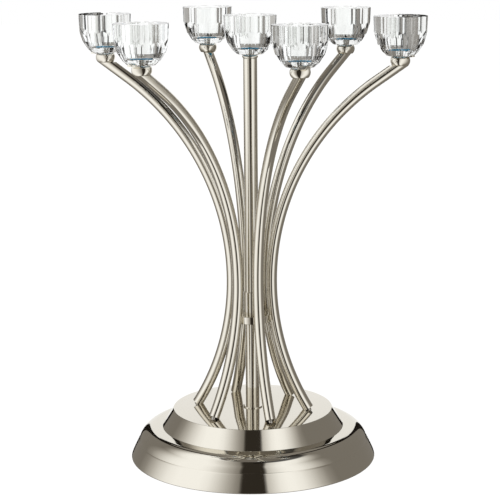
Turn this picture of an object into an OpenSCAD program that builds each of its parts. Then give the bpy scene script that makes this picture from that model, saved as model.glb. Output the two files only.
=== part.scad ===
// Seven-light menorah: six curved arms around a straight centre tube, on a stepped
// round base, with a faceted crystal candle cup on each. Millimetres, +Z up, origin
// at the middle of the base's underside, +X through arm 1.

/* [Base] */
// Radius of the flat top plate
plate_r = 74.5; // [68:0.5:80]
// Height of the top plate above the table
plate_z = 47.1; // [44:0.1:52]
// Largest radius of the base
base_r = 114.3; // [112:0.1:120]
// Thickness of the spun metal sheet
sheet_t = 1.2; // [0.8:0.1:1.6]
// Thickness of the felt under the base
felt_t = 2; // [1:0.5:3]

/* [Arms] */
// Outer diameter of an arm tube
arm_od = 10; // [9:0.5:11]
// Wall thickness of an arm tube
arm_wall = 1; // [0.8:0.1:1.2]
// Radius of the arm's bend, at its axis
bend_r = 228; // [222:1:234]
// Distance from the centre line to the arm's axis at the waist
waist_r = 18.8; // [18:0.1:20]
// Height of the waist
waist_z = 168.5; // [165:0.5:172]
// Radius of the circle of outer cups
ring_r = 136; // [132:1:140]

/* [Centre] */
// Outer diameter of the centre tube
tube_od = 12.9; // [12:0.1:13.4]
// Wall thickness of the centre tube
tube_wall = 1.25; // [1:0.05:1.5]
// Height of the hub's underside
hub_z = 130; // [126:1:134]

/* [Cups] */
// Height at which all the cups stand
cup_z = 376.4; // [374:0.1:379]
// Height of a crystal cup
cup_h = 36; // [34:0.5:40]
// Radius across the corners of the cup's rim
cup_r = 24.1; // [23.5:0.1:26]
// Number of cut facets around a cup
facets = 16; // [12:2:20]
// Radius of the candle hollow
candle_r = 11; // [10:0.1:11.5]
// Height of the candle's seat above the cup's foot
seat_h = 9.6; // [9:0.1:11]

/* [Hidden] */
ARMS = 6;
CUPS = 7;

$fn = 72;
cut = 0.5;          // how far a cutter reaches past a face

nickel = "#b9b2a8";
steel = "#8e9094";
iron = "#3c3c3e";
board = "#8a6a48";
felt = "#2b2b2d";
crystal = "#dfeaf0";
blue = "#3f8fb4";

// Base
rim_z = 0.4;                                 // the shell's lower edge hangs just clear of the table
rim_r = base_r - 1.2;
widest_z = rim_z + 1.6;
crease = [107.4, 16.9];                      // fine line between the two outer bands
crease_step = 0.5;
shelf_z = 30.2;                              // height of the shelf at the foot of the wall
fillet = 0.8;                                // hollow round at the foot of the wall
fillet_at = [plate_r + 10.5, shelf_z + fillet];
shoulder = 16;                               // radius of the round that turns the shelf down
shoulder_at = [91.3, shelf_z - 0.2 - shoulder];
plate_under = plate_z - sheet_t;

// Centre column
tube_r = tube_od / 2;
tube_in = tube_r - tube_wall;
collar_t = 2.8;
collar_r = 7.4;
socket_len = 12;
rod_r = 3;                                   // M6 tie rod
rod_hole = 3.2;
rod_top = cup_z - collar_t - socket_len + 6;
washer_r = 11;
washer_t = 1;
nut_t = 3.2;
nut_r = 5.77;                                // 10 mm across the flats
hub_h = 28;
hub_flange_t = 7;
hub_flange_r = 17.6;
hub_sleeve_r = 7.6;
ring_out = 9;
ring_t = 1;

// Under the base
felt_r = 110.4;
board_t = 6;
board_r = 109.4;
recess_r = 12;
recess_z = felt_t + 4.4;
weight_r = 70;
weight_t = 8;

// Arms
arm_r = arm_od / 2;
foot_lift = 1.3;                             // height of the arm's axis at its square-cut foot
foot_a = asin((waist_z - plate_z - foot_lift) / bend_r);
foot = [waist_r + bend_r * (1 - cos(foot_a)), plate_z + foot_lift];
straight_a = 54.7;                           // where the bend ends, as an angle from the waist
straight = [waist_r + bend_r * (1 - cos(straight_a)), waist_z + bend_r * sin(straight_a)];
straight_len = 40;                           // before its end is cut level under the knob
closed_len = 12;                             // length of bore in the straight end; the rest is solid
plug_a = 3;                                  // length of the foot plug, as an angle of the bend
screw_r = 2;                                 // M4
screw_hole = 2.2;
head_r = 3.5;
head_t = 2.8;
bevel_r = 4.5;
bevel_least = 0.6;                           // thin side of the bevel washer
bite = 9;                                    // length of thread in the plug
seat_s = (plate_z + foot_lift - plate_under) / cos(foot_a) + bevel_r * tan(foot_a) + bevel_least;

// Knobs
knob_core = 2.4;                             // radius of the flat middle of the knob
knob_round = 6.5;                            // radius of its rounded side
knob_up = 3.46;                              // height of the flat top above the widest line
knob_down = 4.34;
knob_z = cup_z - knob_up;
knob_foot = knob_z - knob_down;

// Cups
half = 180 / facets;
pocket_t = 1.8;                              // depth of the blue disc's pocket
pocket_r = 10;
disc_r = pocket_r - 0.1;
flat_head_r = 3.7;
flat_head_t = 1.7;
thread_in = 6;
peak = [23.6, 0.62 * cup_h];                 // top of a lower facet: radius, height
low_1 = [20.3, 11.5];                        // facet middles of the lower tiers: radius, height
low_2 = [15.6, 4.3];
low_3 = [12.2, 1.1];
sole_r = 7.2;
slope_up = (cup_r - peak[0]) / (cup_h - peak[1]);
slope_low = (peak[0] - low_1[0]) / (peak[1] - low_1[1]);
c2 = pow(cos(half), 2);
valley_drop = peak[0] * (1 - c2) / (slope_low - slope_up * c2);

// Points of an arc about c, from angle a to angle b
function arc(c, r, a, b, n = 6) = [for (i = [0:n]) c + r * [cos(a + (b - a) * i / n), sin(a + (b - a) * i / n)]];

// Points of a bulged line from p to q, h high in the middle, without its two ends
function bulge(p, q, h, n = 6) =
    [for (i = [1:n - 1]) let (t = i / n, d = q - p, u = [-d[1], d[0]] / norm(d)) p + d * t + u * h * 4 * t * (1 - t)];

// Unit normal of a profile at point i, to the left of its run
function normal(p, i) =
    let (a = p[max(i - 1, 0)], b = p[min(i + 1, len(p) - 1)], d = b - a) [-d[1], d[0]] / norm(d);

// Outer profile of the base, from the plate's edge out and down to the rim
base_profile = concat(
    [[plate_r - 0.6, plate_z]],
    arc([plate_r - 0.6, plate_z - 0.6], 0.6, 80, 30, 2),
    arc(fillet_at, fillet, 212, 266, 4),
    arc(shoulder_at, shoulder, 89, 12, 12),
    [crease + [-crease_step, 0.4], crease],
    bulge(crease, [base_r, widest_z], 0.3, 5),
    [[base_r, widest_z], [base_r - 0.3, rim_z + 0.6], [rim_r, rim_z]]);

function rim_side(p) = [for (i = [0:len(p) - 1]) p[i] - sheet_t * normal(p, i)];
function backwards(p) = [for (i = [len(p) - 1:-1:0]) p[i]];

module on_arm(k) {
    rotate([0, 0, (k - 1) * 360 / ARMS]) children();
}

// Places its children at cup k: 1 to 6 on the arms, 7 on the centre tube
module at_cup(k) {
    if (k == CUPS) translate([0, 0, cup_z]) children();
    else on_arm(k) translate([ring_r, 0, cup_z]) children();
}

// Round bar of radius r along the arm's bend, between two angles from the waist
module along_bend(r, from, to) {
    translate([waist_r + bend_r, 0, waist_z]) rotate([90, 0, 0]) rotate([0, 0, 180 - to])
        rotate_extrude(angle = to - from) translate([bend_r, 0]) circle(r = r);
}

// Round bar of radius r along the arm's straight end, between two distances past the bend
module along_end(r, from, to) {
    translate([straight[0], 0, straight[1]]) rotate([0, straight_a, 0]) translate([0, 0, from]) cylinder(r = r, h = to - from);
}

// Children stand on the arm's foot with +Z pointing down the arm, out of the plate
module on_foot(k) {
    on_arm(k) translate([foot[0], 0, foot[1]]) rotate([0, 180 - foot_a, 0]) children();
}

module below_plate() {
    translate([foot[0] - 3 * arm_od, -arm_od, plate_z - arm_od]) cube([6 * arm_od, 2 * arm_od, arm_od]);
}

module base_shell() {
    color(nickel) difference() {
        rotate_extrude($fn = 120) polygon(concat([[0, plate_z]], base_profile,
            backwards(rim_side(base_profile)), [[0, plate_under]]));
        translate([0, 0, plate_under - cut]) cylinder(r = rod_hole, h = sheet_t + 2 * cut);
        for (k = [1:ARMS]) on_foot(k) cylinder(r = screw_hole, h = 3 * sheet_t);
    }
}

module bottom_board() {
    color(board) translate([0, 0, felt_t]) difference() {
        cylinder(r = board_r, h = board_t);
        translate([0, 0, -cut]) cylinder(r = recess_r, h = recess_z - felt_t + cut);
        cylinder(r = rod_hole, h = board_t + cut);
    }
}

module weight_disc() {
    color(iron) translate([0, 0, felt_t + board_t]) difference() {
        union() {
            cylinder(r = weight_r, h = weight_t - 1);
            translate([0, 0, weight_t - 1]) cylinder(r1 = weight_r, r2 = weight_r - 1, h = 1);
        }
        translate([0, 0, -cut]) cylinder(r = rod_hole, h = weight_t + 2 * cut);
    }
}

module felt_pad() {
    color(felt) cylinder(r = felt_r, h = felt_t);
}

module centre_tube() {
    color(nickel) translate([0, 0, plate_z]) difference() {
        cylinder(r = tube_r, h = cup_z - collar_t - plate_z);
        translate([0, 0, -cut]) cylinder(r = tube_in, h = cup_z - plate_z + cut);
    }
}

module foot_ring() {
    color(nickel) rotate_extrude() polygon([[tube_r, plate_z], [ring_out, plate_z], [ring_out, plate_z + ring_t * 0.5],
        [ring_out - 0.6, plate_z + ring_t], [tube_r, plate_z + ring_t]]);
}

module tie_rod() {
    color(steel) translate([0, 0, recess_z - washer_t - nut_t]) cylinder(r = rod_r, h = rod_top - recess_z + washer_t + nut_t);
}

// One M6 washer, hanging below z = 0
module tie_washer() {
    translate([0, 0, -washer_t]) difference() {
        cylinder(r = washer_r, h = washer_t);
        translate([0, 0, -cut]) cylinder(r = rod_r, h = washer_t + 2 * cut);
    }
}

// One thin M6 nut, hanging below z = 0
module tie_nut() {
    translate([0, 0, -nut_t]) difference() {
        cylinder(r = nut_r, h = nut_t, $fn = 6);
        translate([0, 0, -cut]) cylinder(r = rod_r, h = nut_t + 2 * cut);
    }
}

module tie_washers() {
    color(steel) for (z = [recess_z, plate_under]) translate([0, 0, z]) tie_washer();
}

module tie_nuts() {
    color(steel) for (z = [recess_z, plate_under]) translate([0, 0, z - washer_t]) tie_nut();
}

module hub() {
    color(nickel) difference() {
        rotate_extrude() polygon([[tube_r, hub_z], [hub_flange_r - 0.6, hub_z], [hub_flange_r, hub_z + 0.6],
            [hub_flange_r, hub_z + hub_flange_t - 0.6], [hub_flange_r - 0.6, hub_z + hub_flange_t],
            [hub_sleeve_r, hub_z + hub_flange_t], [hub_sleeve_r, hub_z + hub_h - 0.8],
            [hub_sleeve_r - 0.8, hub_z + hub_h], [tube_r, hub_z + hub_h]]);
        for (k = [1:ARMS]) on_arm(k) along_bend(arm_r, -15, 0);
    }
}

module top_socket() {
    color(nickel) difference() {
        union() {
            translate([0, 0, cup_z - collar_t]) rotate_extrude() union() {
                square([collar_r - collar_t / 2, collar_t]);
                translate([collar_r - collar_t / 2, collar_t / 2]) circle(r = collar_t / 2);
            }
            translate([0, 0, cup_z - collar_t - socket_len]) cylinder(r = tube_in, h = socket_len + cut);
        }
        translate([0, 0, cup_z - thread_in - 1]) cylinder(r = screw_r, h = thread_in + 2);
        translate([0, 0, cup_z - collar_t - socket_len - cut]) cylinder(r = rod_r, h = 6 + cut);
    }
}

module arm(k) {
    color(nickel) on_arm(k) difference() {
        union() {
            along_bend(arm_r, -foot_a, straight_a);
            along_end(arm_r + 0.03, -1, straight_len);     // a hair wider, so that it swallows the end of the bend
        }
        along_bend(arm_r - arm_wall, -foot_a - 1, straight_a);
        along_end(arm_r - arm_wall - 0.2, -1, closed_len);
        below_plate();
        translate([straight[0] - arm_od, -arm_od, knob_foot]) cube([2 * straight_len, 2 * arm_od, straight_len]);
    }
}

module arm_plugs() {
    color(steel) for (k = [1:ARMS]) difference() {
        on_arm(k) along_bend(arm_r - arm_wall, -foot_a, plug_a - foot_a);
        on_arm(k) below_plate();
        on_foot(k) translate([0, 0, -bite]) cylinder(r = screw_r, h = bite + 2);
    }
}

module arm_screws() {
    color(steel) for (k = [1:ARMS]) on_foot(k) difference() {
        union() {
            translate([0, 0, -bite]) cylinder(r = screw_r, h = bite + seat_s);
            translate([0, 0, seat_s]) cylinder(r = head_r, h = head_t);
        }
        translate([0, 0, seat_s + head_t - 1.8]) cylinder(r = 1.7, h = 2, $fn = 6);
    }
}

// Wedge rings that square the screw heads to the slanted arms
module bevel_washers() {
    color(steel) for (k = [1:ARMS]) difference() {
        on_foot(k) cylinder(r = bevel_r, h = seat_s);
        on_foot(k) translate([0, 0, -cut]) cylinder(r = screw_hole, h = seat_s + 2 * cut);
        on_arm(k) translate([foot[0] - 2 * arm_od, -arm_od, plate_under])
            cube([4 * arm_od, 2 * arm_od, 2 * arm_od]);
    }
}

module knob(k) {
    color(nickel) on_arm(k) difference() {
        translate([ring_r, 0, knob_z]) rotate_extrude() intersection() {
            union() {
                translate([0, -knob_round]) square([knob_core, 2 * knob_round]);
                translate([knob_core, 0]) circle(r = knob_round);
            }
            translate([0, -knob_down]) square([knob_core + knob_round + 1, knob_down + knob_up]);
        }
        translate([ring_r, 0, cup_z - thread_in]) cylinder(r = screw_r, h = thread_in + cut);
    }
}

// Ring of points at height z; turned is 0 or half a facet
function ring(r, z, turned) = [for (i = [0:facets - 1]) [r * cos(2 * half * i + turned), r * sin(2 * half * i + turned), z]];

// Solid outside of a cup: a nearly upright upper tier, and lower tiers set half a facet
// round, whose flat facets run up to points on the upper tier's corners
module cup_outside() {
    n = facets;
    valley_z = peak[1] - valley_drop;
    valley_r = (peak[0] - slope_up * valley_drop) * cos(half);
    points = concat(
        ring(cup_r, cup_h, half), ring(peak[0], peak[1], half), ring(valley_r, valley_z, 0),
        ring(low_1[0] / cos(half), low_1[1], 0), ring(low_2[0] / cos(half), low_2[1], 0),
        ring(low_3[0] / cos(half), low_3[1], 0), ring(sole_r, 0, 0));
    upper = [for (i = [0:n - 1]) let (j = (i + 1) % n) [i, j, n + j, 2 * n + j, n + i]];
    lower = [for (i = [0:n - 1]) let (j = (i + 1) % n) [n + i, 2 * n + j, 3 * n + j, 3 * n + i, 2 * n + i]];
    bands = [for (b = [3:5], i = [0:n - 1]) let (j = (i + 1) % n) [b * n + i, b * n + j, (b + 1) * n + j, (b + 1) * n + i]];
    top = [[for (i = [n - 1:-1:0]) i]];
    sole = [[for (i = [0:n - 1]) 6 * n + i]];
    polyhedron(points, concat(top, upper, lower, bands, sole));
}

module crystal_cup(k) {
    color(crystal, 0.5) at_cup(k) difference() {
        cup_outside();
        translate([0, 0, seat_h]) cylinder(r = candle_r, h = cup_h);
        translate([0, 0, seat_h - pocket_t]) cylinder(r = pocket_r, h = cup_h);
        translate([0, 0, -cut]) cylinder(r = screw_hole, h = cup_h);
    }
}

module cup_disc(k) {
    color(blue, 0.7) at_cup(k) translate([0, 0, seat_h - pocket_t]) difference() {
        cylinder(r = disc_r, h = pocket_t);
        translate([0, 0, -cut]) cylinder(r = screw_r, h = pocket_t + 2 * cut);
        translate([0, 0, pocket_t - flat_head_t]) cylinder(r1 = screw_r, r2 = flat_head_r, h = flat_head_t);
    }
}

module cup_screw(k) {
    color(steel) at_cup(k) difference() {
        union() {
            translate([0, 0, -thread_in]) cylinder(r = screw_r, h = thread_in + seat_h - flat_head_t);
            translate([0, 0, seat_h - flat_head_t]) cylinder(r1 = screw_r, r2 = flat_head_r, h = flat_head_t);
        }
        translate([-flat_head_r, -0.5, seat_h - 0.8]) cube([2 * flat_head_r, 1, 2]);
    }
}

base_shell();
bottom_board();
weight_disc();
felt_pad();
centre_tube();
foot_ring();
tie_rod();
tie_washers();
tie_nuts();
hub();
top_socket();
arm(1);  // arm_1
arm(2);  // arm_2
arm(3);  // arm_3
arm(4);  // arm_4
arm(5);  // arm_5
arm(6);  // arm_6
arm_plugs();
arm_screws();
bevel_washers();
knob(1);  // knob_1
knob(2);  // knob_2
knob(3);  // knob_3
knob(4);  // knob_4
knob(5);  // knob_5
knob(6);  // knob_6
crystal_cup(1);  // crystal_cup_1
crystal_cup(2);  // crystal_cup_2
crystal_cup(3);  // crystal_cup_3
crystal_cup(4);  // crystal_cup_4
crystal_cup(5);  // crystal_cup_5
crystal_cup(6);  // crystal_cup_6
crystal_cup(7);  // crystal_cup_7
cup_disc(1);  // cup_disc_1
cup_disc(2);  // cup_disc_2
cup_disc(3);  // cup_disc_3
cup_disc(4);  // cup_disc_4
cup_disc(5);  // cup_disc_5
cup_disc(6);  // cup_disc_6
cup_disc(7);  // cup_disc_7
cup_screw(1);  // cup_screw_1
cup_screw(2);  // cup_screw_2
cup_screw(3);  // cup_screw_3
cup_screw(4);  // cup_screw_4
cup_screw(5);  // cup_screw_5
cup_screw(6);  // cup_screw_6
cup_screw(7);  // cup_screw_7
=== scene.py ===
"""Seven-light menorah: bright nickel tubes on a spun base, with cut crystal candle cups.

Laid out as an add-on and run as a script. Sizes are in metres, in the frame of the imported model.
"""
import math

import bmesh
import bpy
from mathutils import Euler, Matrix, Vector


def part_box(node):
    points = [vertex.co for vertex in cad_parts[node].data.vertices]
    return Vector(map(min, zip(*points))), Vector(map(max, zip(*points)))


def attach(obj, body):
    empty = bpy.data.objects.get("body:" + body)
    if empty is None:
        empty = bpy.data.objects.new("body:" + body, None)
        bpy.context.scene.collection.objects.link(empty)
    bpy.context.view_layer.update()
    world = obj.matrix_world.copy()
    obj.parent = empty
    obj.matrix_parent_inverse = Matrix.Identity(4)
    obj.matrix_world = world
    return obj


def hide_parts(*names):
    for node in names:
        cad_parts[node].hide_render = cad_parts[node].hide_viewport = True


bl_info = {
    "name": "Seven-light menorah",
    "version": (1, 0, 0),
    "blender": (4, 5, 0),
    "location": "View3D > Sidebar > Menorah",
    "description": "Builds a nickel menorah with cut crystal candle cups around its packed frame",
    "category": "Object",
}

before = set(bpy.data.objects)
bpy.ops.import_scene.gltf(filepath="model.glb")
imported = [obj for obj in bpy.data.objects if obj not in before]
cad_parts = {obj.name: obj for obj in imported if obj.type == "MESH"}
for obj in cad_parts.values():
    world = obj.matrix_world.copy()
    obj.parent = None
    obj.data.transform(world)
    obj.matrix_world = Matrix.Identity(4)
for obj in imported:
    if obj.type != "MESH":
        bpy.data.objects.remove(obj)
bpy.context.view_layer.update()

MM = 0.001
ARMS = 6
CUPS = 7
BODY = "root"
AIR = 0.05 * MM             # gap that keeps touching faces apart
CUT_PAST = 2 * MM           # how far a cutting cone runs past the cup's foot and rim

# Sizes that the frame gives
BASE_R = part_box("base_shell")[1].x
RIM_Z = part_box("base_shell")[0].z
PLATE_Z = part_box("base_shell")[1].z
TUBE_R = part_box("centre_tube")[1].x
TUBE_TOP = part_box("centre_tube")[1].z
RING_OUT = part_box("foot_ring")[1].x
HUB_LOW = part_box("hub")[0].z
HUB_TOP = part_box("hub")[1].z
HUB_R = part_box("hub")[1].x
CUP_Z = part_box("crystal_cup_7")[0].z
CUP_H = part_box("crystal_cup_7")[1].z - CUP_Z
ARM_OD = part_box("arm_1")[1].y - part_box("arm_1")[0].y
KNOB_R = (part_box("knob_1")[1].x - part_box("knob_1")[0].x) / 2
RING_R = (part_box("knob_1")[1].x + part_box("knob_1")[0].x) / 2
KNOB_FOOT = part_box("knob_1")[0].z


# ---------------------------------------------------------------- properties

def length(label, about, metres):
    """A length that the user can change."""
    return bpy.props.FloatProperty(name=label, description=about, default=metres, min=0, unit="LENGTH", precision=5)


def angle(label, about, degrees):
    """An angle that the user can change."""
    return bpy.props.FloatProperty(name=label, description=about, default=math.radians(degrees), unit="ROTATION")


def colour(label, about, hex_value):
    """An sRGB colour that the user can change, kept as it is written."""
    return bpy.props.StringProperty(name=label, description=about, default=hex_value)


class MENORAH_PG_base(bpy.types.PropertyGroup):
    plate_r: length("Plate radius", "Radius of the flat top plate", 74.5 * MM)
    sheet: length("Sheet", "Thickness of the spun sheet", 1.2 * MM)
    crease_r: length("Crease radius", "Radius of the fine line between the two outer bands", 107.4 * MM)
    crease_z: length("Crease height", "Height of that line", 16.9 * MM)
    shelf_z: length("Shelf height", "Height of the shelf at the foot of the wall", 30.2 * MM)
    shoulder: length("Shoulder", "Radius of the round that turns the shelf down", 16 * MM)
    shoulder_at: length("Shoulder place", "Distance of that round's centre from the centre line", 91.3 * MM)
    steps: bpy.props.IntProperty(name="Steps", description="Sides of a full turn", default=256, min=48)


class MENORAH_PG_arms(bpy.types.PropertyGroup):
    bend: length("Bend", "Radius of the bend at the tube's axis", 228 * MM)
    waist_r: length("Waist radius", "Distance from the centre line to the axis at the waist", 18.8 * MM)
    waist_z: length("Waist height", "Height of the waist", 168.5 * MM)
    wall: length("Wall", "Wall thickness of the tube", 1 * MM)
    foot_lift: length("Foot lift", "Height of the axis above the plate at the square-cut foot", 1.3 * MM)
    straight: angle("Straight from", "Where the bend ends and the straight end starts, as an angle from the waist",
                    54.7)
    end_bore: length("End bore", "Length of bore in the straight end; the rest is solid", 12 * MM)


class MENORAH_PG_cups(bpy.types.PropertyGroup):
    facets: bpy.props.IntProperty(name="Facets", description="Flats cut round the cup", default=16, min=8)
    rim_r: length("Rim radius", "Radius across the corners of the rim", 24.1 * MM)
    candle_r: length("Candle radius", "Radius of the candle hollow", 11 * MM)
    seat: length("Seat", "Height of the candle's seat above the foot", 9.6 * MM)
    pocket_r: length("Pocket radius", "Radius of the blue disc's pocket", 10 * MM)
    pocket: length("Pocket depth", "Depth of the blue disc's pocket", 1.8 * MM)
    hole_r: length("Hole radius", "Radius of the screw's hole", 2.2 * MM)
    edge: length("Edge", "Width of the polished edge between two flats", 0.14 * MM)


class MENORAH_PG_finish(bpy.types.PropertyGroup):
    nickel: colour("Nickel", "Warm white of bright nickel", "#dcd7cb")
    steel: colour("Steel", "Grey of the zinc-plated fasteners", "#b6b2aa")
    iron: colour("Iron", "Dark grey of the cast weight", "#3c3b3a")
    board: colour("Board", "Brown of the pressed fibreboard", "#8a6a48")
    felt: colour("Felt", "Charcoal of the wool felt", "#2b2b2d")
    crystal: colour("Crystal", "Almost clear, a little green", "#fdfefd")
    disc: colour("Disc", "Blue of the dyed disc", "#2cb2e2")


class MENORAH_PG_stage(bpy.types.PropertyGroup):
    distance: length("Distance", "Distance of the camera from the centre line", 1538 * MM)
    height: length("Height", "Height of the camera above the floor", 510.25 * MM)
    round: angle("Round", "How far round the object the camera stands", 12.346)
    turn: angle("Turn", "Heading of the camera", 12.40)
    tilt: angle("Tilt", "How far the camera looks down", 11.516)
    roll: angle("Roll", "Roll of the camera", -0.443)
    lens: bpy.props.FloatProperty(name="Lens", description="Focal length on a 36 mm sensor", default=122.46,
                                  unit="CAMERA")


GROUPS = {"menorah_base": MENORAH_PG_base, "menorah_arms": MENORAH_PG_arms, "menorah_cups": MENORAH_PG_cups,
          "menorah_finish": MENORAH_PG_finish, "menorah_stage": MENORAH_PG_stage}


# ---------------------------------------------------------------- small tools

def linear(hex_value):
    """Linear RGBA of an sRGB hex value."""
    parts = [int(hex_value[i:i + 2], 16) / 255 for i in (1, 3, 5)]
    return [c / 12.92 if c <= 0.04045 else ((c + 0.055) / 1.055) ** 2.4 for c in parts] + [1.0]


def add(tree, kind, inputs=None, **settings):
    """Adds a node with its settings; an input is a value or the output that feeds it."""
    node = tree.nodes.new(kind)
    for name, value in settings.items():
        setattr(node, name, value)
    for key, value in (inputs or {}).items():
        for one in value if isinstance(value, list) and isinstance(value[0], bpy.types.NodeSocket) else [value]:
            if isinstance(one, bpy.types.NodeSocket):
                tree.links.new(one, node.inputs[key])
            else:
                node.inputs[key].default_value = one
    return node


def arc(centre, radius, start, end, steps):
    """Points of an arc in a profile, angles in degrees."""
    turns = [math.radians(start + (end - start) * i / steps) for i in range(steps + 1)]
    return [(centre[0] + radius * math.cos(t), centre[1] + radius * math.sin(t)) for t in turns]


def bulge(start, end, height, steps):
    """Points of a bulged line between two points, its ends left out."""
    dx, dz = end[0] - start[0], end[1] - start[1]
    size = math.hypot(dx, dz)
    points = []
    for i in range(1, steps):
        t = i / steps
        out = height * 4 * t * (1 - t) / size
        points.append((start[0] + dx * t - dz * out, start[1] + dz * t + dx * out))
    return points


def lathe(name, profile, steps, ring=False, sharp=30):
    """Mesh of a profile of (radius, height) turned round Z; ring joins its last point to its first."""
    shape = bmesh.new()
    rows = []
    for r, z in profile:
        if r < 1e-7:
            rows.append([shape.verts.new((0, 0, z))])
            continue
        turns = [2 * math.pi * i / steps for i in range(steps)]
        rows.append([shape.verts.new((r * math.cos(t), r * math.sin(t), z)) for t in turns])
    pairs = list(zip(rows, rows[1:])) + ([(rows[-1], rows[0])] if ring else [])
    for low, high in pairs:
        for i in range(steps):
            j = (i + 1) % steps
            corners = [low[i % len(low)], low[j % len(low)], high[j % len(high)], high[i % len(high)]]
            shape.faces.new(list(dict.fromkeys(corners)))
    return finished(name, shape, sharp)


def finished(name, shape, sharp):
    """Turns a bmesh into a smooth-shaded mesh that keeps its sharp edges."""
    bmesh.ops.recalc_face_normals(shape, faces=shape.faces)
    mesh = bpy.data.meshes.new(name)
    shape.to_mesh(mesh)
    shape.free()
    shade(mesh, sharp)
    return mesh


def shade(mesh, sharp):
    """Smooth shading, with edges sharper than an angle in degrees kept."""
    mesh.polygons.foreach_set("use_smooth", [True] * len(mesh.polygons))
    mesh.set_sharp_from_angle(angle=math.radians(sharp))
    mesh.update()


def new_object(name, mesh):
    """Object for a mesh, linked to the scene."""
    made = bpy.data.objects.new(name, mesh)
    bpy.context.scene.collection.objects.link(made)
    return made


def baked(source, name):
    """Plain mesh of an object with its modifiers applied; the object is removed."""
    bpy.context.view_layer.update()
    graph = bpy.context.evaluated_depsgraph_get()
    mesh = bpy.data.meshes.new_from_object(source.evaluated_get(graph))
    mesh.name = name
    bpy.data.objects.remove(source)
    return mesh


def cut(mesh, cutters, sharp):
    """Mesh with the cutters' meshes taken away."""
    body = new_object("blank", mesh)
    tools = [new_object("cutter", c) for c in cutters]
    for tool in tools:
        step = body.modifiers.new("cut", "BOOLEAN")
        step.operation = "DIFFERENCE"
        step.solver = "MANIFOLD"
        step.object = tool
    made = baked(body, mesh.name)
    for tool in tools:
        bpy.data.objects.remove(tool)
    shade(made, sharp)
    return made


def moved(mesh, matrix):
    """Copy of a mesh, moved by a matrix."""
    copy = mesh.copy()
    copy.transform(matrix)
    return copy


def piece(name, mesh, finish, *nodes):
    """Finished piece that rides on the body and stands for CAD nodes."""
    made = new_object(name, mesh)
    mesh.name = name
    mesh.materials.clear()
    mesh.materials.append(MATERIALS[finish]())
    mesh.polygons.foreach_set("material_index", [0] * len(mesh.polygons))
    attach(made, BODY)
    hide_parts(*nodes)
    return made


def on_arm(number):
    """Turn that takes arm 1's place to another arm's."""
    return Matrix.Rotation(2 * math.pi * (number - 1) / ARMS, 4, "Z")


def at_cup(number):
    """Place of a cup: 1 to 6 on the arms, 7 on the centre tube."""
    if number == CUPS:
        return Matrix.Translation((0, 0, CUP_Z))
    return on_arm(number) @ Matrix.Translation((RING_R, 0, CUP_Z))


# ---------------------------------------------------------------- materials

def blank_material(name):
    """Material with only a Principled shader, its output and the object's coordinates."""
    made = bpy.data.materials.new(name)
    made.use_nodes = True
    tree = made.node_tree
    tree.nodes.clear()
    shader = add(tree, "ShaderNodeBsdfPrincipled")
    add(tree, "ShaderNodeOutputMaterial", {"Surface": shader.outputs["BSDF"]})
    place = add(tree, "ShaderNodeTexCoord").outputs["Object"]
    return made, tree, shader, place


def bright_nickel():
    """Bright nickel plate on buffed steel: a near mirror with a warm tint, faint haze and buffing waves."""
    name = "bright_nickel"
    if name in bpy.data.materials:
        return bpy.data.materials[name]
    made, tree, shader, place = blank_material(name)
    haze_mm, wave_mm = 14, 9
    haze = add(tree, "ShaderNodeTexNoise", {"Vector": place, "Scale": 1 / (haze_mm * MM), "Detail": 4.0})
    rough = add(tree, "ShaderNodeMapRange", {"Value": haze.outputs["Fac"], "From Min": 0.3, "From Max": 0.7,
                                             "To Min": 0.045, "To Max": 0.075})
    wave = add(tree, "ShaderNodeTexNoise", {"Vector": place, "Scale": 1 / (wave_mm * MM), "Detail": 1.0})
    bump = add(tree, "ShaderNodeBump", {"Height": wave.outputs["Fac"], "Strength": 0.06, "Distance": 0.2 * MM})
    shader.inputs["Base Color"].default_value = linear(bpy.context.scene.menorah_finish.nickel)
    shader.inputs["Metallic"].default_value = 1.0
    tree.links.new(rough.outputs["Result"], shader.inputs["Roughness"])
    tree.links.new(bump.outputs["Normal"], shader.inputs["Normal"])
    return made


def crystal_glass():
    """Pressed and polished crystal glass: clear, with faint ripples left by the polish."""
    name = "crystal_glass"
    if name in bpy.data.materials:
        return bpy.data.materials[name]
    made, tree, shader, place = blank_material(name)
    ripple_mm = 5
    ripple = add(tree, "ShaderNodeTexNoise", {"Vector": place, "Scale": 1 / (ripple_mm * MM), "Detail": 1.0})
    bump = add(tree, "ShaderNodeBump", {"Height": ripple.outputs["Fac"], "Strength": 0.1, "Distance": 0.1 * MM})
    shader.inputs["Base Color"].default_value = linear(bpy.context.scene.menorah_finish.crystal)
    shader.inputs["Roughness"].default_value = 0.0
    shader.inputs["IOR"].default_value = 1.52
    shader.inputs["Transmission Weight"].default_value = 1.0
    tree.links.new(bump.outputs["Normal"], shader.inputs["Normal"])
    return made


def blue_acrylic():
    """Dyed acrylic disc, moulded: glossy and half clear, a little cloudy."""
    name = "blue_acrylic"
    if name in bpy.data.materials:
        return bpy.data.materials[name]
    made, tree, shader, place = blank_material(name)
    cloud_mm = 3
    cloud = add(tree, "ShaderNodeTexNoise", {"Vector": place, "Scale": 1 / (cloud_mm * MM), "Detail": 2.0})
    rough = add(tree, "ShaderNodeMapRange", {"Value": cloud.outputs["Fac"], "To Min": 0.05, "To Max": 0.2})
    shader.inputs["Base Color"].default_value = linear(bpy.context.scene.menorah_finish.disc)
    shader.inputs["IOR"].default_value = 1.49
    shader.inputs["Transmission Weight"].default_value = 0.3
    tree.links.new(rough.outputs["Result"], shader.inputs["Roughness"])
    return made


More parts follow.
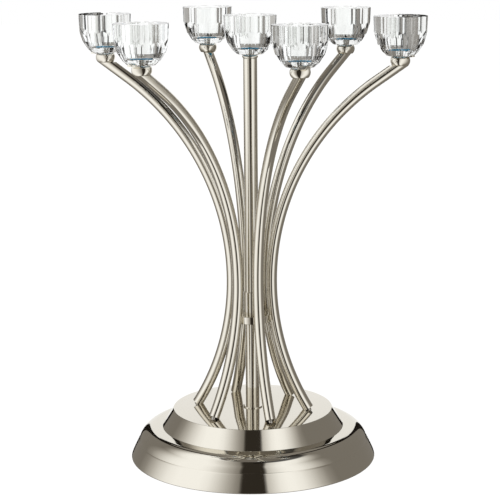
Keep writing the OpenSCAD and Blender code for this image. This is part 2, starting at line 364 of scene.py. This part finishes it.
def zinc_steel():
    """Zinc-plated steel fasteners: grey metal with a fine turned grain."""
    name = "zinc_steel"
    if name in bpy.data.materials:
        return bpy.data.materials[name]
    made, tree, shader, place = blank_material(name)
    grain_mm = 0.4
    stretch = add(tree, "ShaderNodeMapping", {"Vector": place, "Scale": (0.25, 0.25, 1.0)})
    grain = add(tree, "ShaderNodeTexNoise", {"Vector": stretch.outputs["Vector"], "Scale": 1 / (grain_mm * MM),
                                             "Detail": 3.0})
    rough = add(tree, "ShaderNodeMapRange", {"Value": grain.outputs["Fac"], "To Min": 0.22, "To Max": 0.45})
    bump = add(tree, "ShaderNodeBump", {"Height": grain.outputs["Fac"], "Strength": 0.3, "Distance": 0.03 * MM})
    shader.inputs["Base Color"].default_value = linear(bpy.context.scene.menorah_finish.steel)
    shader.inputs["Metallic"].default_value = 1.0
    tree.links.new(rough.outputs["Result"], shader.inputs["Roughness"])
    tree.links.new(bump.outputs["Normal"], shader.inputs["Normal"])
    return made


def grained(name, hex_value, grain_mm, contrast, roughness, depth_mm, sheen=0.0, stretch=(1.0, 1.0, 1.0)):
    """Matt material with a grain of its own size in its colour and its surface."""
    if name in bpy.data.materials:
        return bpy.data.materials[name]
    made, tree, shader, place = blank_material(name)
    mapped = add(tree, "ShaderNodeMapping", {"Vector": place, "Scale": stretch})
    grain = add(tree, "ShaderNodeTexNoise", {"Vector": mapped.outputs["Vector"], "Scale": 1 / (grain_mm * MM),
                                             "Detail": 6.0})
    base = linear(hex_value)
    ramp = add(tree, "ShaderNodeValToRGB", {"Fac": grain.outputs["Fac"]})
    ramp.color_ramp.elements[0].position = 0.3
    ramp.color_ramp.elements[0].color = [c * (1 - contrast) for c in base[:3]] + [1]
    ramp.color_ramp.elements[1].position = 0.7
    ramp.color_ramp.elements[1].color = [min(1, c * (1 + contrast)) for c in base[:3]] + [1]
    bump = add(tree, "ShaderNodeBump", {"Height": grain.outputs["Fac"], "Strength": 0.8, "Distance": depth_mm * MM})
    shader.inputs["Roughness"].default_value = roughness
    shader.inputs["Sheen Weight"].default_value = sheen
    tree.links.new(ramp.outputs["Color"], shader.inputs["Base Color"])
    tree.links.new(bump.outputs["Normal"], shader.inputs["Normal"])
    return made


def wool_felt():
    """Pressed wool felt: matt, with short tangled fibres."""
    return grained("wool_felt", bpy.context.scene.menorah_finish.felt, 0.9, 0.5, 0.95, 0.25, sheen=0.4)


def grey_iron():
    """Sand-cast grey iron: dark, dull and pebbled."""
    return grained("grey_iron", bpy.context.scene.menorah_finish.iron, 1.6, 0.35, 0.7, 0.2)


def fibreboard():
    """Pressed fibreboard: fine brown fibres lying flat."""
    return grained("pressed_fibreboard", bpy.context.scene.menorah_finish.board, 1.2, 0.25, 0.8, 0.08,
                   stretch=(1.0, 1.0, 4.0))


MATERIALS = {"nickel_plate": bright_nickel, "cut_crystal": crystal_glass, "blue_disc": blue_acrylic, "steel": zinc_steel,
             "cast_iron": grey_iron, "fibreboard": fibreboard, "felt": wool_felt}


# ---------------------------------------------------------------- base

def base_profile(sizes):
    """Outside of the base, from the middle of the plate out and down to the rim."""
    plate_round, fillet, hem, widest_z = 0.6 * MM, 0.8 * MM, 1.2 * MM, 2 * MM
    fillet_at = (sizes.plate_r + 10.5 * MM, sizes.shelf_z + fillet)
    shoulder_at = (sizes.shoulder_at, sizes.shelf_z - 0.2 * MM - sizes.shoulder)
    crease = (sizes.crease_r, sizes.crease_z)
    return (
        [(0, PLATE_Z), (sizes.plate_r * 0.5, PLATE_Z)]
        + arc((sizes.plate_r - plate_round, PLATE_Z - plate_round), plate_round, 90, 30, 5)
        + arc(fillet_at, fillet, 212, 266, 8)
        + arc(shoulder_at, sizes.shoulder, 89, 12, 30)
        + [(crease[0] - 0.5 * MM, crease[1] + 0.4 * MM), crease]
        + bulge(crease, (BASE_R, widest_z), 0.3 * MM, 16)
        + arc((BASE_R - hem, RIM_Z + hem), hem, 5, -80, 6))


def inside_of(profile, wall):
    """The profile's inner side, one wall thickness in, run backwards."""
    points = []
    for i, point in enumerate(profile):
        before, after = profile[max(i - 1, 0)], profile[min(i + 1, len(profile) - 1)]
        dx, dz = after[0] - before[0], after[1] - before[1]
        size = math.hypot(dx, dz)
        points.append((point[0] + wall * dz / size, max(point[1] - wall * dx / size, RIM_Z)))
    points[0] = (0, profile[0][1] - wall)
    return points[::-1]


class MENORAH_OT_base(bpy.types.Operator):
    """Spun base, its weight, board and felt"""
    bl_idname = "menorah.base"
    bl_label = "Base"

    def execute(self, context):
        sizes = context.scene.menorah_base
        outside = base_profile(sizes)
        shell = lathe("spun_base", outside + inside_of(outside, sizes.sheet), sizes.steps, sharp=24)
        piece("spun_base", shell, "nickel_plate", "base_shell")
        for node, finish in (("weight_disc", "cast_iron"), ("bottom_board", "fibreboard"), ("felt_pad", "felt")):
            dress(node, finish)
        return {"FINISHED"}


def dress(node, finish):
    """Gives a CAD node that stays its finish."""
    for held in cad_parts[node].material_slots:
        held.material = MATERIALS[finish]()


# ---------------------------------------------------------------- column

class MENORAH_OT_column(bpy.types.Operator):
    """Centre tube with its foot ring, hub, top socket and tie rod"""
    bl_idname = "menorah.column"
    bl_label = "Centre column"

    def execute(self, context):
        round_edge = 0.35 * MM
        bore = TUBE_R - 1.25 * MM
        tube = [(TUBE_R, PLATE_Z), (TUBE_R, TUBE_TOP), (bore, TUBE_TOP), (bore, PLATE_Z)]
        piece("straight_tube", lathe("straight_tube", tube, 128, ring=True), "nickel_plate", "centre_tube")
        ring_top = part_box("foot_ring")[1].z
        ring = ([(TUBE_R + AIR, PLATE_Z), (RING_OUT, PLATE_Z)]
                + arc((RING_OUT - round_edge, ring_top - round_edge), round_edge, 0, 90, 5)
                + [(TUBE_R + AIR, ring_top)])
        piece("foot_washer", lathe("foot_washer", ring, 96, ring=True), "nickel_plate", "foot_ring")
        piece("hub_flange", hub_mesh(context.scene.menorah_arms), "nickel_plate", "hub")
        piece("top_collar", collar_mesh(), "nickel_plate", "top_socket")
        for node in ("tie_rod", "tie_washers", "tie_nuts"):
            dress(node, "steel")
        return {"FINISHED"}


def hub_mesh(arms):
    """Turned hub: a flange and a sleeve, with a saddle for each arm."""
    edge, sleeve = 0.6 * MM, 7.6 * MM
    flange_top = HUB_LOW + 7 * MM
    profile = ([(TUBE_R + AIR, HUB_LOW)]
               + arc((HUB_R - edge, HUB_LOW + edge), edge, -90, 0, 4)
               + arc((HUB_R - edge, flange_top - edge), edge, 0, 90, 4)
               + [(sleeve, flange_top)]
               + arc((sleeve - edge, HUB_TOP - edge), edge, 0, 90, 4)
               + [(TUBE_R + AIR, HUB_TOP)])
    hub = lathe("hub_flange", profile, 144, ring=True)
    bar = bent_bar(arms, ARM_OD / 2 + AIR, -math.radians(15), math.radians(1))
    return cut(hub, [moved(bar, on_arm(k)) for k in range(1, ARMS + 1)], 30)


def collar_mesh():
    """Turned plug with a half-round collar and the screw's thread hole."""
    half, collar_r, hole, plug = (CUP_Z - TUBE_TOP) / 2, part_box("top_socket")[1].x, 2 * MM, TUBE_R - 1.25 * MM - AIR
    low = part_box("top_socket")[0].z
    profile = ([(hole, CUP_Z - AIR)]
               + arc((collar_r - half, CUP_Z - half - AIR / 2), half - AIR / 2, 90, -90, 16)
               + [(plug, TUBE_TOP), (plug, low), (hole, low)])
    return lathe("top_collar", profile, 96, ring=True)


# ---------------------------------------------------------------- arms

def bend_tree():
    """Node tree that sweeps a round bar along the arm's bend."""
    name = "Bent bar"
    if name in bpy.data.node_groups:
        return bpy.data.node_groups[name]
    tree = bpy.data.node_groups.new(name, "GeometryNodeTree")
    for label in ("Bend", "Waist radius", "Waist height", "Start", "Sweep", "End x", "End z", "Bar radius"):
        tree.interface.new_socket(name=label, in_out="INPUT", socket_type="NodeSocketFloat")
    tree.interface.new_socket(name="Finish", in_out="INPUT", socket_type="NodeSocketMaterial")
    tree.interface.new_socket(name="Geometry", in_out="OUTPUT", socket_type="NodeSocketGeometry")
    given = add(tree, "NodeGroupInput").outputs
    path = add(tree, "GeometryNodeCurveArc", {"Resolution": 120, "Radius": given["Bend"], "Start Angle": given["Start"],
                                              "Sweep Angle": given["Sweep"]}, mode="RADIUS")
    out = add(tree, "ShaderNodeMath", {0: given["Waist radius"], 1: given["Bend"]}, operation="ADD")
    centre = add(tree, "ShaderNodeCombineXYZ", {"X": out.outputs[0], "Z": given["Waist height"]})
    upright = add(tree, "GeometryNodeTransform", {"Geometry": path.outputs["Curve"], "Translation": centre.outputs[0],
                                                  "Rotation": (math.pi / 2, 0, 0)})
    reach = add(tree, "ShaderNodeCombineXYZ", {"X": given["End x"], "Z": given["End z"]})
    tip = add(tree, "GeometryNodeCurveEndpointSelection", {"Start Size": 1, "End Size": 0})
    whole = add(tree, "GeometryNodeSetPosition", {"Geometry": upright.outputs[0], "Selection": tip.outputs[0],
                                                  "Offset": reach.outputs[0]})
    section = add(tree, "GeometryNodeCurvePrimitiveCircle", {"Resolution": 72, "Radius": given["Bar radius"]})
    bar = add(tree, "GeometryNodeCurveToMesh", {"Curve": whole.outputs[0], "Profile Curve": section.outputs["Curve"],
                                                "Fill Caps": True})
    real = add(tree, "GeometryNodeRealizeInstances", {"Geometry": bar.outputs[0]})
    done = add(tree, "GeometryNodeSetMaterial", {"Geometry": real.outputs[0], "Material": given["Finish"]})
    add(tree, "NodeGroupOutput", {"Geometry": done.outputs[0]})
    return tree


def with_nodes(name, tree, values):
    """Plain mesh that a node tree makes from its named inputs."""
    made = new_object(name, bpy.data.meshes.new(name))
    step = made.modifiers.new(name, "NODES")
    step.node_group = tree
    for item in tree.interface.items_tree:
        if item.in_out == "INPUT" and item.name in values:
            step[item.identifier] = values[item.name]
    return baked(made, name)


def bent_bar(arms, radius, low, high, straight=0.0):
    """Round bar along the bend, between two angles from the waist, with a straight end past the second."""
    mesh = with_nodes("bent_bar", bend_tree(), {
        "Bend": arms.bend, "Waist radius": arms.waist_r, "Waist height": arms.waist_z, "Start": math.pi - high,
        "Sweep": high - low, "End x": straight * math.sin(high), "End z": straight * math.cos(high),
        "Bar radius": radius, "Finish": bright_nickel()})
    shape = bmesh.new()
    shape.from_mesh(mesh)
    bmesh.ops.recalc_face_normals(shape, faces=shape.faces)
    shape.to_mesh(mesh)
    shape.free()
    return mesh


def knob_profile():
    """Side of a knob: a barrel between its flat top and underside, with its edges broken."""
    up, round_r, edge = 3.46 * MM, 6.5 * MM, 0.3 * MM
    middle = (KNOB_R - round_r, CUP_Z - up)
    top = math.degrees(math.asin((up - edge) / round_r))
    low = -math.degrees(math.asin((middle[1] - KNOB_FOOT - edge) / round_r))
    side = arc(middle, round_r, low, top, 24)
    return [(side[0][0] - edge, KNOB_FOOT)] + side + [(side[-1][0] - edge, CUP_Z - AIR)]


class MENORAH_OT_arms(bpy.types.Operator):
    """Six bent arm tubes with their plugs and screws"""
    bl_idname = "menorah.arms"
    bl_label = "Arms"

    def execute(self, context):
        arms = context.scene.menorah_arms
        foot = math.asin((arms.waist_z - PLATE_Z - arms.foot_lift) / arms.bend)
        over = lathe("end_cutter", [(0, KNOB_FOOT - AIR), (60 * MM, KNOB_FOOT - AIR), (60 * MM, CUP_Z), (0, CUP_Z)], 32)
        over.transform(Matrix.Translation((RING_R, 0, 0)))
        foot_x = arms.waist_r + arms.bend * (1 - math.cos(foot))
        plate = lathe("plate_cutter", [(0, 0), (20 * MM, 0), (20 * MM, -10 * MM), (0, -10 * MM)], 32)
        plate.transform(Matrix.Translation((foot_x, 0, PLATE_Z + AIR)))
        bore = bent_bar(arms, ARM_OD / 2 - arms.wall, -foot - math.radians(1), arms.straight, arms.end_bore)
        bar = bent_bar(arms, ARM_OD / 2, -foot, arms.straight, 40 * MM)
        tube = cut(bar, [bore, over, plate], 30)
        for k in range(1, ARMS + 1):
            piece(f"bent_arm_{k}", moved(tube, on_arm(k)), "nickel_plate", f"arm_{k}")
        for node in ("arm_plugs", "arm_screws", "bevel_washers"):
            dress(node, "steel")
        return {"FINISHED"}


class MENORAH_OT_knobs(bpy.types.Operator):
    """Six turned knobs under the outer cups"""
    bl_idname = "menorah.knobs"
    bl_label = "Knobs"

    def execute(self, context):
        hole, floor = 2 * MM, CUP_Z - 6 * MM
        profile = [(0, KNOB_FOOT)] + knob_profile() + [(hole, CUP_Z - AIR), (hole, floor), (0, floor)]
        knob = lathe("turned_knob", profile, 96)
        for k in range(1, ARMS + 1):
            place = on_arm(k) @ Matrix.Translation((RING_R, 0, 0))
            piece(f"turned_knob_{k}", moved(knob, place), "nickel_plate", f"knob_{k}")
        return {"FINISHED"}


# ---------------------------------------------------------------- cups

def cup_tree():
    """Node tree that cuts a cup: cones of flat facets meet, and the hollow is taken away."""
    name = "Cut cup"
    if name in bpy.data.node_groups:
        return bpy.data.node_groups[name]
    tree = bpy.data.node_groups.new(name, "GeometryNodeTree")
    tree.interface.new_socket(name="Facets", in_out="INPUT", socket_type="NodeSocketInt")
    tiers = 5
    labels = ["Height", "Candle radius", "Seat", "Pocket radius", "Pocket floor", "Hole radius"]
    labels += [f"Tier {t} {end}" for t in range(1, tiers + 1) for end in ("top", "foot")]
    for label in labels:
        tree.interface.new_socket(name=label, in_out="INPUT", socket_type="NodeSocketFloat")
    tree.interface.new_socket(name="Finish", in_out="INPUT", socket_type="NodeSocketMaterial")
    tree.interface.new_socket(name="Geometry", in_out="OUTPUT", socket_type="NodeSocketGeometry")
    given = add(tree, "NodeGroupInput").outputs
    half = add(tree, "ShaderNodeMath", {0: math.pi, 1: given["Facets"]}, operation="DIVIDE").outputs[0]
    to_corner = add(tree, "ShaderNodeMath", {0: half}, operation="COSINE").outputs[0]
    cones = []
    for t in range(1, tiers + 1):
        ends = [add(tree, "ShaderNodeMath", {0: given[f"Tier {t} {end}"], 1: to_corner}, operation="DIVIDE").outputs[0]
                for end in ("top", "foot")]
        low, high = (0.0 if t == tiers else -CUT_PAST), (0.0 if t == 1 else CUT_PAST)
        depth = add(tree, "ShaderNodeMath", {0: given["Height"], 1: high - low}, operation="ADD").outputs[0]
        cone = add(tree, "GeometryNodeMeshCone", {"Vertices": given["Facets"], "Radius Top": ends[0],
                                                  "Radius Bottom": ends[1], "Depth": depth})
        around = add(tree, "ShaderNodeCombineXYZ", {"Z": half if t == 1 else 0.0})
        turned = add(tree, "GeometryNodeTransform", {"Geometry": cone.outputs["Mesh"], "Rotation": around.outputs[0],
                                                     "Translation": (0, 0, low)})
        cones.append(turned.outputs[0])
    outside = add(tree, "GeometryNodeMeshBoolean", {"Mesh 2": cones}, operation="INTERSECT", solver="EXACT")
    hollow = outside.outputs["Mesh"]
    for radius, floor in (("Candle radius", "Seat"), ("Pocket radius", "Pocket floor"), ("Hole radius", None)):
        low = given[floor] if floor else -5 * MM
        centre = add(tree, "ShaderNodeMath", {0: low, 1: 30 * MM}, operation="ADD").outputs[0]
        drill = add(tree, "GeometryNodeMeshCylinder", {"Vertices": 128, "Radius": given[radius], "Depth": 60 * MM})
        up = add(tree, "ShaderNodeCombineXYZ", {"Z": centre})
        placed = add(tree, "GeometryNodeTransform", {"Geometry": drill.outputs["Mesh"], "Translation": up.outputs[0]})
        hollow = add(tree, "GeometryNodeMeshBoolean", {"Mesh 1": hollow, "Mesh 2": placed.outputs[0]},
                     operation="DIFFERENCE", solver="EXACT").outputs["Mesh"]
    real = add(tree, "GeometryNodeRealizeInstances", {"Geometry": hollow})
    done = add(tree, "GeometryNodeSetMaterial", {"Geometry": real.outputs[0], "Material": given["Finish"]})
    add(tree, "NodeGroupOutput", {"Geometry": done.outputs[0]})
    return tree


def cup_mesh(cups):
    """One cut cup standing on the origin, with small polished edges."""
    peak, low_1, low_2, low_3, sole = (23.6, 22.32), (20.3, 11.5), (15.6, 4.3), (12.2, 1.1), (7.2, 0)
    facet_cos = math.cos(math.pi / cups.facets)
    upper = ((cups.rim_r / MM * facet_cos, CUP_H / MM), (peak[0] * facet_cos, peak[1]))
    lines = [upper, (peak, low_1), (low_1, low_2), (low_2, low_3), (low_3, sole)]
    values = {"Facets": cups.facets, "Height": CUP_H, "Candle radius": cups.candle_r, "Seat": cups.seat,
              "Pocket radius": cups.pocket_r, "Pocket floor": cups.seat - cups.pocket, "Hole radius": cups.hole_r,
              "Finish": crystal_glass()}
    for t, (high, low) in enumerate(lines, 1):
        slope = (high[0] - low[0]) / (high[1] - low[1])
        foot_z, top_z = (0.0 if t == len(lines) else -CUT_PAST), CUP_H + (0.0 if t == 1 else CUT_PAST)
        values[f"Tier {t} top"] = low[0] * MM + (top_z - low[1] * MM) * slope
        values[f"Tier {t} foot"] = low[0] * MM + (foot_z - low[1] * MM) * slope
    mesh = with_nodes("cut_cup", cup_tree(), values)
    blank = new_object("cut_cup", mesh)
    weld = blank.modifiers.new("weld", "WELD")
    weld.merge_threshold = 0.01 * MM
    split = blank.modifiers.new("split", "TRIANGULATE")
    split.min_vertices = 5
    edges = blank.modifiers.new("edges", "BEVEL")
    edges.width = cups.edge
    edges.segments = 1
    edges.limit_method = "ANGLE"
    edges.angle_limit = math.radians(6)
    made = baked(blank, "cut_cup")
    made.transform(Matrix.Translation((0, 0, AIR)))
    made.transform(Matrix.Scale((CUP_H - AIR) / CUP_H, 4, (0, 0, 1)))
    shade(made, 4)
    return made


def disc_mesh(cups):
    """Blue disc with rounded edges and a countersunk hole."""
    outer, edge, low = cups.pocket_r - 0.1 * MM, 0.25 * MM, cups.seat - cups.pocket + 2 * AIR
    head_r, hole = 3.75 * MM, 2.05 * MM
    profile = ([(hole, low)] + arc((outer - edge, low + edge), edge, -90, 0, 4)
               + arc((outer - edge, cups.seat - edge), edge, 0, 90, 4) + [(head_r, cups.seat),
                                                                               (hole, cups.seat - head_r + hole)])
    return lathe("disc", profile, 96, ring=True)


class MENORAH_OT_cups(bpy.types.Operator):
    """Seven cut crystal cups, each with a blue disc and its screw"""
    bl_idname = "menorah.cups"
    bl_label = "Cups"

    def execute(self, context):
        cups = context.scene.menorah_cups
        cup, disc = cup_mesh(cups), disc_mesh(cups)
        for k in range(1, CUPS + 1):
            piece(f"cut_cup_{k}", moved(cup, at_cup(k)), "cut_crystal", f"crystal_cup_{k}")
            piece(f"blue_disc_{k}", moved(disc, at_cup(k)), "blue_disc", f"cup_disc_{k}")
            dress(f"cup_screw_{k}", "steel")
        return {"FINISHED"}


# ---------------------------------------------------------------- stage

# Light of the tent's wall at table height, in degrees round from the camera's side, to its right. A soft panel
# swells from its first angle to full light at its second, and dies away from its third to its fourth.
LEFT_PANEL = (-110, -63, -43, -6)
RIGHT_PANEL = (-3, 27, 32, 70)
PANEL_LIGHT = 1.25
ROOM_LIGHT = 0.24           # where no panel lights the wall
OPENING = 10                # half-width of the dark opening that the camera looks through
OPENING_LIGHT = 0.035
OPENING_EDGE = 0.5          # half-width of the opening's edge
TENT_R = 0.28               # radius of the tent's wall
TENT_TOP = 1.0              # height of its roof
LEFT_TOP, RIGHT_TOP = 0.95, 0.60    # heights up to which the two panels light it
TENT_LOW = -0.25            # its light also shows mirrored in the table, as far down as this
BACK_R = 2.0                # distance of the white backdrop
BACK_TOP = 1.0
BACK_HALF = math.radians(34)
GROUND_R = 6.0
GROUND_Z = -0.02 * MM       # just under the felt
GAP = math.radians(8)       # unlit black edge of the tent beside the open back


def panel_light(panel, turn):
    """Share of its full light that a soft panel gives at an angle."""
    start, full, fading, end = panel
    share = max(0, min(1, (turn - start) / (full - start), (end - turn) / (end - fading)))
    return share * share * (3 - 2 * share)


def wall_light(turn):
    """Light of the tent's wall at an angle, at table height."""
    if abs(turn) < OPENING:
        return OPENING_LIGHT
    share = max(panel_light(LEFT_PANEL, turn), panel_light(RIGHT_PANEL, turn))
    return ROOM_LIGHT + (PANEL_LIGHT - ROOM_LIGHT) * share


def wall_turns(steps=5):
    """Angles at which the wall's light is worked out."""
    turns = [-180, 180] + [side * (OPENING + edge) for side in (-1, 1) for edge in (-OPENING_EDGE, OPENING_EDGE)]
    for start, full, fading, end in (LEFT_PANEL, RIGHT_PANEL):
        for low, high in ((start, full), (fading, end)):
            turns += [low + (high - low) * i / steps for i in range(steps + 1)]
    return sorted(turns)


def warm(light):
    """Colour of a grey surround: the dimmer it is, the warmer."""
    return (light, light ** 1.05, light ** 1.12, 1)


def glowing(name):
    """Material that only glows, with its tree, its emission node and the object's coordinates."""
    made = bpy.data.materials.new(name)
    made.use_nodes = True
    tree = made.node_tree
    tree.nodes.clear()
    glow = add(tree, "ShaderNodeEmission")
    add(tree, "ShaderNodeOutputMaterial", {"Surface": glow.outputs[0]})
    return made, tree, glow, add(tree, "ShaderNodeTexCoord").outputs["Object"]


def tent_fabric(camera_side):
    """White tent fabric lit from outside by two lamps; their patches of light widen with height."""
    made, tree, glow, place = glowing("tent_fabric")
    facing = add(tree, "ShaderNodeVectorRotate", {"Vector": place, "Angle": -camera_side}, rotation_type="Z_AXIS")
    around = add(tree, "ShaderNodeTexGradient", {"Vector": facing.outputs[0]}, gradient_type="RADIAL")
    centred = add(tree, "ShaderNodeMath", {0: around.outputs["Fac"], 1: 0.5}, operation="SUBTRACT")
    height = add(tree, "ShaderNodeSeparateXYZ", {"Vector": place}).outputs["Z"]
    wider = add(tree, "ShaderNodeMapRange", {"Value": height, "From Min": 0.2, "From Max": 0.7, "To Min": 1.0,
                                             "To Max": 2.15})
    across = add(tree, "ShaderNodeMath", {0: centred.outputs[0], 1: wider.outputs[0]}, operation="DIVIDE")
    back = add(tree, "ShaderNodeMath", {0: across.outputs[0], 1: 0.5}, operation="ADD")
    ramp = add(tree, "ShaderNodeValToRGB", {"Fac": back.outputs[0]})
    stops = ramp.color_ramp.elements
    turns = wall_turns()
    while len(stops) < len(turns):
        stops.new(1.0)
    for stop, turn in zip(stops, turns):
        stop.position = 0.5 + turn / 360
        stop.color = warm(wall_light(turn))
    right = add(tree, "ShaderNodeMath", {0: centred.outputs[0], 1: 0.0}, operation="GREATER_THAN").outputs[0]
    top = add(tree, "ShaderNodeMapRange", {"Value": right, "To Min": LEFT_TOP, "To Max": RIGHT_TOP}).outputs[0]
    full = add(tree, "ShaderNodeMath", {0: top, 1: 0.1}, operation="SUBTRACT").outputs[0]
    fade = add(tree, "ShaderNodeMapRange", {"Value": height, "From Min": full, "From Max": top, "To Min": 1.0,
                                            "To Max": 0.1})
    tree.links.new(ramp.outputs["Color"], glow.inputs["Color"])
    tree.links.new(fade.outputs[0], glow.inputs["Strength"])
    return made


def even_glow(name, light):
    """Plain glowing card."""
    made, _, glow, _ = glowing(name)
    glow.inputs["Color"].default_value = warm(light)
    return made


def upright_card(name, radius, low, high, start, end, material):
    """Curved upright card round the object, from one angle to another."""
    shape = bmesh.new()
    steps = 90
    turns = [start + (end - start) * i / steps for i in range(steps + 1)]
    rows = [[shape.verts.new((radius * math.cos(t), radius * math.sin(t), z)) for t in turns] for z in (low, high)]
    for i in range(steps):
        shape.faces.new((rows[0][i + 1], rows[0][i], rows[1][i], rows[1][i + 1]))
    return card(name, shape, material)


def level_card(name, radius, z, material):
    """Round card lying level."""
    shape = bmesh.new()
    bmesh.ops.create_circle(shape, cap_ends=True, radius=radius, segments=90, matrix=Matrix.Translation((0, 0, z)))
    return card(name, shape, material)


def card(name, shape, material):
    """Stage card that only shows in reflections and through the glass."""
    mesh = bpy.data.meshes.new(name)
    shape.to_mesh(mesh)
    shape.free()
    mesh.materials.append(material)
    made = new_object(name, mesh)
    made.visible_camera = False
    made.visible_shadow = False
    return made


def light_tent(camera_side):
    """Tent round the object: walls open at the back, a roof, a table and a far white backdrop."""
    fabric = tent_fabric(camera_side)
    behind = camera_side + math.pi
    upright_card("tent_wall", TENT_R, TENT_LOW, TENT_TOP, behind + BACK_HALF, behind + 2 * math.pi - BACK_HALF, fabric)
    for side, name in ((-1, "left"), (1, "right")):
        edges = sorted((behind + side * BACK_HALF, behind + side * (BACK_HALF + GAP)))
        black = even_glow(f"tent_edge_{name}", 0.01)
        upright_card(f"tent_edge_{name}", TENT_R * 0.98, TENT_LOW, TENT_TOP, *edges, black)
    level_card("tent_roof", TENT_R, TENT_TOP, even_glow("tent_roof", 0.2))
    level_card("table_glow", TENT_R, TENT_LOW, even_glow("table_glow", 0.24))
    wide = BACK_HALF + GAP
    for name, low, high, light in (("paper_back", TENT_LOW - 0.3, BACK_TOP, 1.02),
                                   ("paper_edge", BACK_TOP, BACK_TOP + 0.3, 0.01)):
        upright_card(name, BACK_R, low, high, behind - wide, behind + wide, even_glow(name, light))


def studio_world(camera_side):
    """World of a dark room in front and a dim one behind; where the camera looks it is white paper."""
    world = bpy.data.worlds.new("studio")
    world.use_nodes = True
    tree = world.node_tree
    tree.nodes.clear()
    way = add(tree, "ShaderNodeTexCoord").outputs["Generated"]
    facing = add(tree, "ShaderNodeVectorRotate", {"Vector": way, "Angle": -camera_side}, rotation_type="Z_AXIS")
    front = add(tree, "ShaderNodeSeparateXYZ", {"Vector": facing.outputs[0]}).outputs["X"]
    dim = add(tree, "ShaderNodeMapRange", {"Value": front, "From Min": -0.2, "From Max": 0.2, "To Min": 0.28,
                                           "To Max": 0.03})
    room = add(tree, "ShaderNodeBackground", {"Color": (1, 0.93, 0.84, 1), "Strength": dim.outputs[0]})
    paper = add(tree, "ShaderNodeBackground", {"Color": (1, 1, 1, 1)})
    seen = add(tree, "ShaderNodeLightPath").outputs["Is Camera Ray"]
    both = add(tree, "ShaderNodeMixShader", {0: seen, 1: room.outputs[0], 2: paper.outputs[0]})
    add(tree, "ShaderNodeOutputWorld", {"Surface": both.outputs[0]})
    bpy.context.scene.world = world


def white_paper():
    """White paper floor, lit evenly enough to leave no shadow."""
    made, _, shader, _ = blank_material("white_paper")
    shader.inputs["Base Color"].default_value = (0.1, 0.1, 0.1, 1)
    shader.inputs["Roughness"].default_value = 1.0
    shader.inputs["Emission Color"].default_value = (1, 1, 1, 1)
    shader.inputs["Emission Strength"].default_value = 1.0
    return made


class MENORAH_OT_stage(bpy.types.Operator):
    """Camera, studio light and a white floor"""
    bl_idname = "menorah.stage"
    bl_label = "Stage"

    def execute(self, context):
        scene, stage = context.scene, context.scene.menorah_stage
        data = bpy.data.cameras.new("camera")
        data.lens = stage.lens
        camera = new_object("camera", data)
        heading = Euler((math.pi / 2 - stage.tilt, 0, stage.turn)).to_matrix() @ Matrix.Rotation(stage.roll, 3, "Z")
        camera.matrix_world = heading.to_4x4()
        camera.location = (stage.distance * math.sin(stage.round), -stage.distance * math.cos(stage.round),
                           stage.height)
        scene.camera = camera
        camera_side = stage.round - math.pi / 2
        studio_world(camera_side)
        light_tent(camera_side)
        ground = lathe("ground", [(0, GROUND_Z), (GROUND_R, GROUND_Z)], 64)
        ground.materials.append(white_paper())
        laid = new_object("ground", ground)
        laid.visible_glossy = False
        scene.view_settings.view_transform = "Standard"
        return {"FINISHED"}


class MENORAH_PT_panel(bpy.types.Panel):
    """Lists the pieces and their sizes"""
    bl_idname = "MENORAH_PT_panel"
    bl_label = "Menorah"
    bl_space_type = "VIEW_3D"
    bl_region_type = "UI"
    bl_category = "Menorah"

    def draw(self, context):
        for name, operator in zip(GROUPS, ("base", "arms", "cups", None, "stage")):
            box = self.layout.box()
            group = getattr(context.scene, name)
            for key in group.bl_rna.properties.keys():
                if key not in ("rna_type", "name"):
                    box.prop(group, key)
            if operator:
                box.operator(f"menorah.{operator}")
        self.layout.operator("menorah.column")
        self.layout.operator("menorah.knobs")


CLASSES = [*GROUPS.values(), MENORAH_OT_stage, MENORAH_OT_base, MENORAH_OT_column, MENORAH_OT_arms, MENORAH_OT_knobs,
           MENORAH_OT_cups, MENORAH_PT_panel]


def register():
    for each in CLASSES:
        bpy.utils.register_class(each)
    for name, group in GROUPS.items():
        setattr(bpy.types.Scene, name, bpy.props.PointerProperty(type=group))


def unregister():
    for name in GROUPS:
        delattr(bpy.types.Scene, name)
    for each in reversed(CLASSES):
        bpy.utils.unregister_class(each)


def main():
    register()
    bpy.ops.menorah.stage()
    bpy.ops.menorah.base()
    bpy.ops.menorah.column()
    bpy.ops.menorah.arms()
    bpy.ops.menorah.knobs()
    bpy.ops.menorah.cups()


if __name__ == "__main__":
    main()
